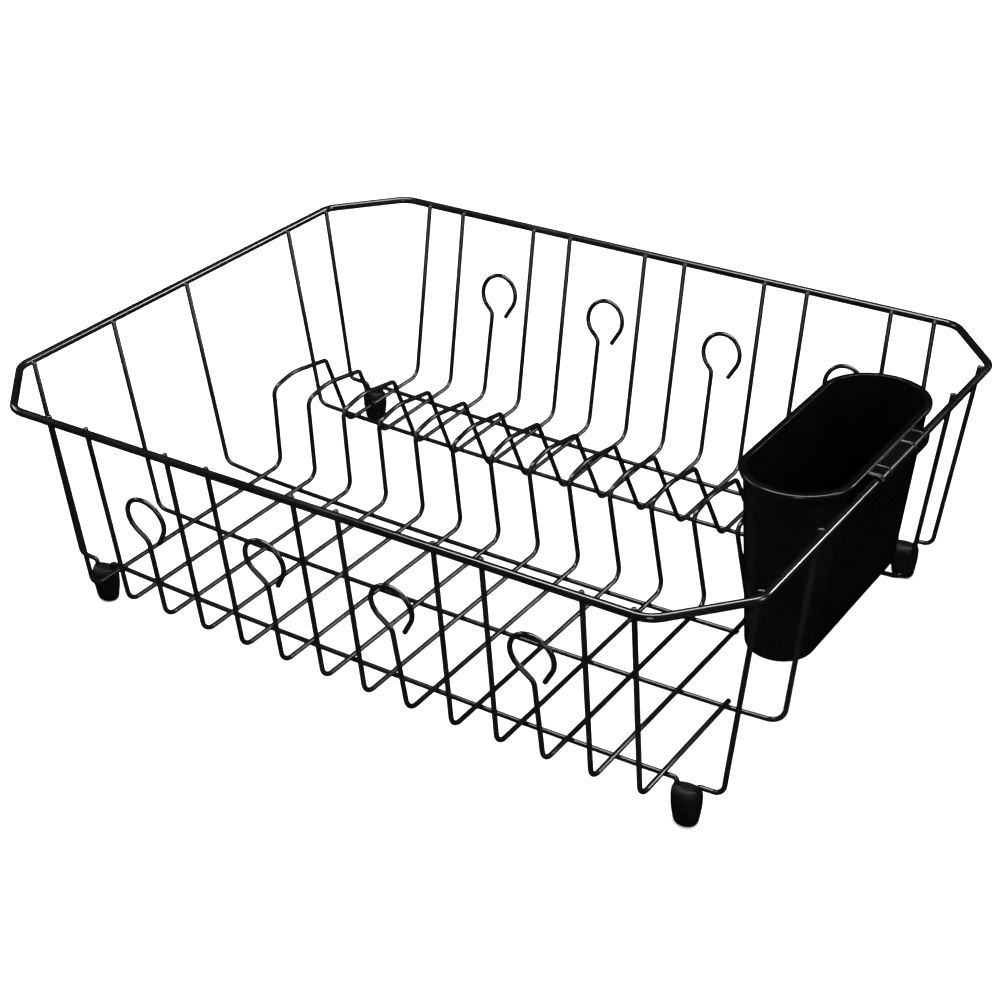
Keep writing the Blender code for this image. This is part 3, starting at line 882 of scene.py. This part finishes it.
def clip_stations():
    """(x, z, outward x, outward z, how far down, thickness share) along the clip's middle line, from the
    lip, over the rim and down to its tip. How far down is -1 before the clip starts to drop."""
    half_x, _, _, middle = CUP_LIP
    line = (CLIP_INSIDE + CLIP_OUTSIDE) / 2
    start = middle + half_x - CLIP_BITE
    stations = []
    for step in range(CLIP_OVER_STEPS + 1):
        x = start + (RIM_X - start) * step / CLIP_OVER_STEPS
        stations.append((x, RIM_HEIGHT + line, 0.0, 1.0, -1.0, 1.0))
    for step in range(1, CLIP_TURN_STEPS + 1):
        angle = math.pi / 2 * (1 - step / CLIP_TURN_STEPS)
        out_x, out_z = math.cos(angle), math.sin(angle)
        stations.append((RIM_X + line * out_x, RIM_HEIGHT + line * out_z, out_x, out_z, 0.0, 1.0))
    straight = CLIP_DROP - CLIP_TIP
    for step in range(1, CLIP_DOWN_STEPS + 1):
        down = straight * step / CLIP_DOWN_STEPS
        stations.append((RIM_X + line, RIM_HEIGHT - down, 1.0, 0.0, down, 1.0))
    for degrees in CLIP_TIP_ANGLES:
        angle = math.radians(degrees)
        down = straight + CLIP_TIP * math.sin(angle)
        stations.append((RIM_X + line, RIM_HEIGHT - down, 1.0, 0.0, down, math.cos(angle)))
    return stations


def rib_rise(y):
    """How far the clip's outer face stands out at this place along it, for its rounded ribs."""
    away = min(abs(y - place) for place in RIB_PLACES) / (RIB_WIDTH / 2)
    return RIB_HEIGHT * max(0.0, 1 - away**2) ** RIB_FULLNESS


def clip_section(down, thickness):
    """A closed outline across the clip, as (y, outward): its ends draw in towards the tip."""
    dropped = max(0.0, down)
    draw_in = CLIP_DROP - math.sqrt(CLIP_DROP**2 - dropped**2) * CLIP_CORNER_WIDTH if down > 0 else 0.0
    half, thick = CLIP_WIDTH / 2 - draw_in, CLIP_THICKNESS / 2 * thickness
    rib = math.sqrt(max(0.0, 1 - (dropped / RIB_DROP) ** 2))
    edge = thick * CLIP_EDGE_SHARE
    back, front = CLIP_MIDDLE + half - edge, CLIP_MIDDLE - half + edge
    outer, inner = thick - edge, -thick + edge
    outline = []
    for step in range(CLIP_WIDTH_STEPS + 1):
        y = -half + edge + 2 * (half - edge) * step / CLIP_WIDTH_STEPS
        outline.append((CLIP_MIDDLE + y, thick + rib_rise(CLIP_MIDDLE + y) * rib))
    outline += arc((back, outer), edge, 90, 0, CLIP_EDGE_STEPS)[1:]
    outline += arc((back, inner), edge, 0, -90, CLIP_EDGE_STEPS)
    for step in range(1, CLIP_INNER_STEPS):
        outline.append((back - 2 * (half - edge) * step / CLIP_INNER_STEPS, -thick))
    outline += arc((front, inner), edge, -90, -180, CLIP_EDGE_STEPS)
    outline += arc((front, outer), edge, 180, 90, CLIP_EDGE_STEPS)[:-1]
    return outline


def rim_clip(plastic):
    """The ribbed clip that hooks the cup over the rim."""
    rings = []
    for x, z, out_x, out_z, down, thickness in clip_stations():
        ring = []
        for y, out in clip_section(down, thickness):
            ring.append(Vector((x + SHIFT_X + out * out_x, y, z + out * out_z)))
        rings.append(ring)
    return mesh_object("clip", *loft(rings), plastic)


def slot_cutter(y, plastic):
    """A rounded slot through the cup's floor."""
    radius = SLOT_WIDTH / 2
    low = CUP_UNDERSIDE - SLOT_CUT_BELOW * CUP_WALL
    high = CUP_UNDERSIDE + SLOT_CUT_ABOVE * CUP_WALL
    rings = []
    for height in (low, high):
        ring = []
        for side, first in ((1, -90), (-1, 90)):
            middle = (CUP_BOTTOM[3] + SHIFT_X + side * (SLOT_LENGTH - SLOT_WIDTH) / 2, y)
            for point in arc(middle, radius, first, first + 180, SLOT_END_STEPS):
                ring.append(Vector((*point, height)))
        rings.append(ring)
    return mesh_object("slot", *loft(rings), plastic)


def make_cup(plastic):
    """The cup, its clip and its drain slots, as one closed mesh."""
    cup = cup_body(plastic)
    combine(cup, rim_clip(plastic), "UNION")
    for number in range(SLOT_COUNT):
        y = CUP_MIDDLE + (number - (SLOT_COUNT - 1) / 2) * SLOT_PITCH
        combine(cup, slot_cutter(y, plastic), "DIFFERENCE")
    smooth(cup)
    stand_for(cup, "utensil_cup", "cup_plastic", "utensil_cup")


# ---------------------------------------------------------------- stage

CAMERA_PLACE = (0.51502, -0.79642, 0.59467)
CAMERA_AZIMUTH = math.radians(33.08)
CAMERA_ELEVATION = math.radians(29.6)
CAMERA_ROLL = math.radians(-0.62)
CAMERA_LENS = 70.31
CAMERA_SENSOR = 36
CAMERA_NEAREST = 0.01

FLOOR_HALF = 6.0
FLOOR_SQUARES = 24
FLOOR_DROP = 0.0002  # keeps the floor clear of the soles
WORLD_STRENGTH = 1.15
LIGHTS_AIM = (0, 0, 0.08)
LIGHTS = (  # name, place, (long, short) size, power in watts, direction of the long side
    ("overhead", (0.05, 0.02, 1.30), (1.6, 0.24), 30, (0.84, 0.54, 0)),
    ("right_back", (1.69, 2.21, 1.42), (0.6, 0.40), 25, (1, 0, 0)),
    ("camera_side", (0.80, -1.45, 0.75), (0.9, 0.40), 5, (0, 0, 1)),
    ("left", (-1.4, -0.3, 0.8), (0.9, 0.35), 7, (0, 1, 0)),
    ("right", (1.6, 0.25, 0.7), (0.7, 0.35), 6, (0, 0, 1)),
)


def area_light(name, place, size, power, along):
    """A soft light that faces the object."""
    data = bpy.data.lights.new(name, "AREA")
    data.shape = "RECTANGLE"
    data.size, data.size_y = size
    data.energy = power
    light = bpy.data.objects.new(name, data)
    bpy.context.scene.collection.objects.link(light)
    back = (Vector(place) - Vector(LIGHTS_AIM)).normalized()
    across = (Vector(along) - back * back.dot(Vector(along))).normalized()
    turn = Matrix((across, back.cross(across), back)).transposed().to_4x4()
    light.matrix_world = Matrix.Translation(place) @ turn


def make_camera():
    """The photograph's view of the rack."""
    azimuth, elevation = CAMERA_AZIMUTH, CAMERA_ELEVATION
    forward = -Vector(
        (
            math.cos(elevation) * math.sin(azimuth),
            -math.cos(elevation) * math.cos(azimuth),
            math.sin(elevation),
        )
    )
    right = Vector((math.cos(azimuth), math.sin(azimuth), 0))
    up = right.cross(forward)
    turned_right = right * math.cos(CAMERA_ROLL) + up * math.sin(CAMERA_ROLL)
    turned_up = up * math.cos(CAMERA_ROLL) - right * math.sin(CAMERA_ROLL)
    data = bpy.data.cameras.new("camera")
    data.sensor_width = CAMERA_SENSOR
    data.lens = CAMERA_LENS
    data.clip_start = CAMERA_NEAREST
    camera = bpy.data.objects.new("camera", data)
    bpy.context.scene.collection.objects.link(camera)
    turn = Matrix((turned_right, turned_up, -forward)).transposed().to_4x4()
    camera.matrix_world = Matrix.Translation(CAMERA_PLACE) @ turn
    bpy.context.scene.camera = camera


def make_stage():
    """The floor, the studio world and the lights. Neither floor nor world shows in reflections."""
    shape = bmesh.new()
    bmesh.ops.create_grid(shape, x_segments=FLOOR_SQUARES, y_segments=FLOOR_SQUARES, size=FLOOR_HALF)
    mesh = bpy.data.meshes.new("floor")
    shape.to_mesh(mesh)
    shape.free()
    mesh.materials.append(floor_material())
    floor = bpy.data.objects.new("floor", mesh)
    floor.location = (0, 0, -FLOOR_DROP)
    bpy.context.scene.collection.objects.link(floor)
    floor.visible_glossy = False

    world = bpy.data.worlds.new("studio")
    world.use_nodes = True
    background = world.node_tree.nodes["Background"]
    background.inputs["Color"].default_value = (1, 1, 1, 1)
    background.inputs["Strength"].default_value = WORLD_STRENGTH
    world.cycles_visibility.glossy = False
    bpy.context.scene.world = world

    for light in LIGHTS:
        area_light(*light)
    bpy.context.scene.view_settings.view_transform = "Standard"


coated = coated_wire_material()
plastic = cup_material()
rubber = foot_material()
make_wires(coated)
make_welds(coated)
make_feet(rubber)
make_cup(plastic)
make_camera()
make_stage()
